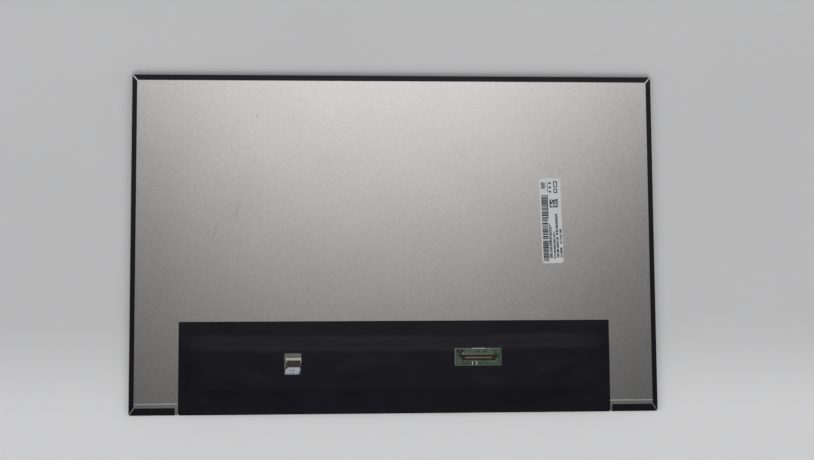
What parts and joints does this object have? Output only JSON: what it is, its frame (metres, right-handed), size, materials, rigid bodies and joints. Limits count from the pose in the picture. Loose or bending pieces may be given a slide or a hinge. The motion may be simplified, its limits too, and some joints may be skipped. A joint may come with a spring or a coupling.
{
  "type": "laptop screen panel",
  "caption": "Flat display module for a laptop lid: metal-backed sheet with taped edges, a black film over its board, a plug socket and a flip-lock flex connector.",
  "frame": {"origin": "middle of the outline on the screen's face, which the panel lies on", "axes": "+X to the right as seen from the back, +Y from the cable edge to the far edge, +Z from the screen to the back"},
  "size_m": [0.3506, 0.2264, 0.0044],
  "materials": {
    "front_polarizer_film": "matte",
    "display_glass": "polished",
    "rear_polarizer_film": "gloss",
    "rim_adhesive": "matte",
    "frame_polycarbonate": "matte",
    "optical_film": "satin",
    "light_guide_acrylic": "gloss",
    "reflector_film": "gloss",
    "led_package": "matte",
    "white_flex": "satin",
    "flex_adhesive": "matte",
    "grained_plate": "satin",
    "edge_tape": "satin",
    "cover_film": "satin",
    "board_laminate": "satin",
    "board_adhesive": "matte",
    "driver_polyimide": "satin",
    "chip_epoxy": "matte",
    "driver_silicon": "gloss",
    "inductor_ferrite": "matte",
    "capacitor_ceramic": "satin",
    "connector_brown": "satin",
    "contact_gold": "polished",
    "solder_tin": "satin",
    "connector_cream": "satin",
    "lever_grey": "satin",
    "label_paper": "satin"
  },
  "bodies": {
    "panel": {"array_glass": "display_glass", "backlight_connector_anchors": "solder_tin", "backlight_connector_contacts": "solder_tin", "backlight_connector_housing": "connector_cream", "backlight_driver_chip": "chip_epoxy", "backlight_leds": "led_package", "board_cover_film": "cover_film", "board_tape": "board_adhesive", "bottom_left_edge_tape": "edge_tape", "bottom_right_edge_tape": "edge_tape", "chip_capacitors": "capacitor_ceramic", "colour_filter_glass": "display_glass", "control_board": "board_laminate", "diffuser_sheet": "optical_film", "driver_chip_1": "driver_silicon", "driver_chip_2": "driver_silicon", "driver_chip_3": "driver_silicon", "driver_chip_4": "driver_silicon", "driver_film_1": "driver_polyimide", "driver_film_2": "driver_polyimide", "driver_film_3": "driver_polyimide", "driver_film_4": "driver_polyimide", "front_polarizer": "front_polarizer_film", "label": "label_paper", "led_flex": "white_flex", "led_flex_tape": "flex_adhesive", "left_edge_tape": "edge_tape", "light_guide_plate": "light_guide_acrylic", "lower_prism_sheet": "optical_film", "memory_chip": "chip_epoxy", "mould_frame": "frame_polycarbonate", "power_chip": "chip_epoxy", "power_inductor_1": "inductor_ferrite", "power_inductor_2": "inductor_ferrite", "power_inductor_3": "inductor_ferrite", "rear_plate": "grained_plate", "rear_polarizer": "rear_polarizer_film", "reflector_sheet": "reflector_film", "right_edge_tape": "edge_tape", "rim_tape": "rim_adhesive", "signal_connector_anchors": "solder_tin", "signal_connector_contacts": "contact_gold", "signal_connector_housing": "connector_brown", "timing_controller": "chip_epoxy", "top_edge_tape": "edge_tape", "upper_prism_sheet": "optical_film"},
    "lever": {"backlight_connector_lever": "lever_grey"}
  },
  "joints": [
    {"name": "lever_flip", "type": "hinge", "parent": "panel", "child": "lever", "pos_m": [-0.0677, -0.0784, 0.00396], "axis": [-1, 0, 0], "range_deg": [0, 100]}
  ]
}
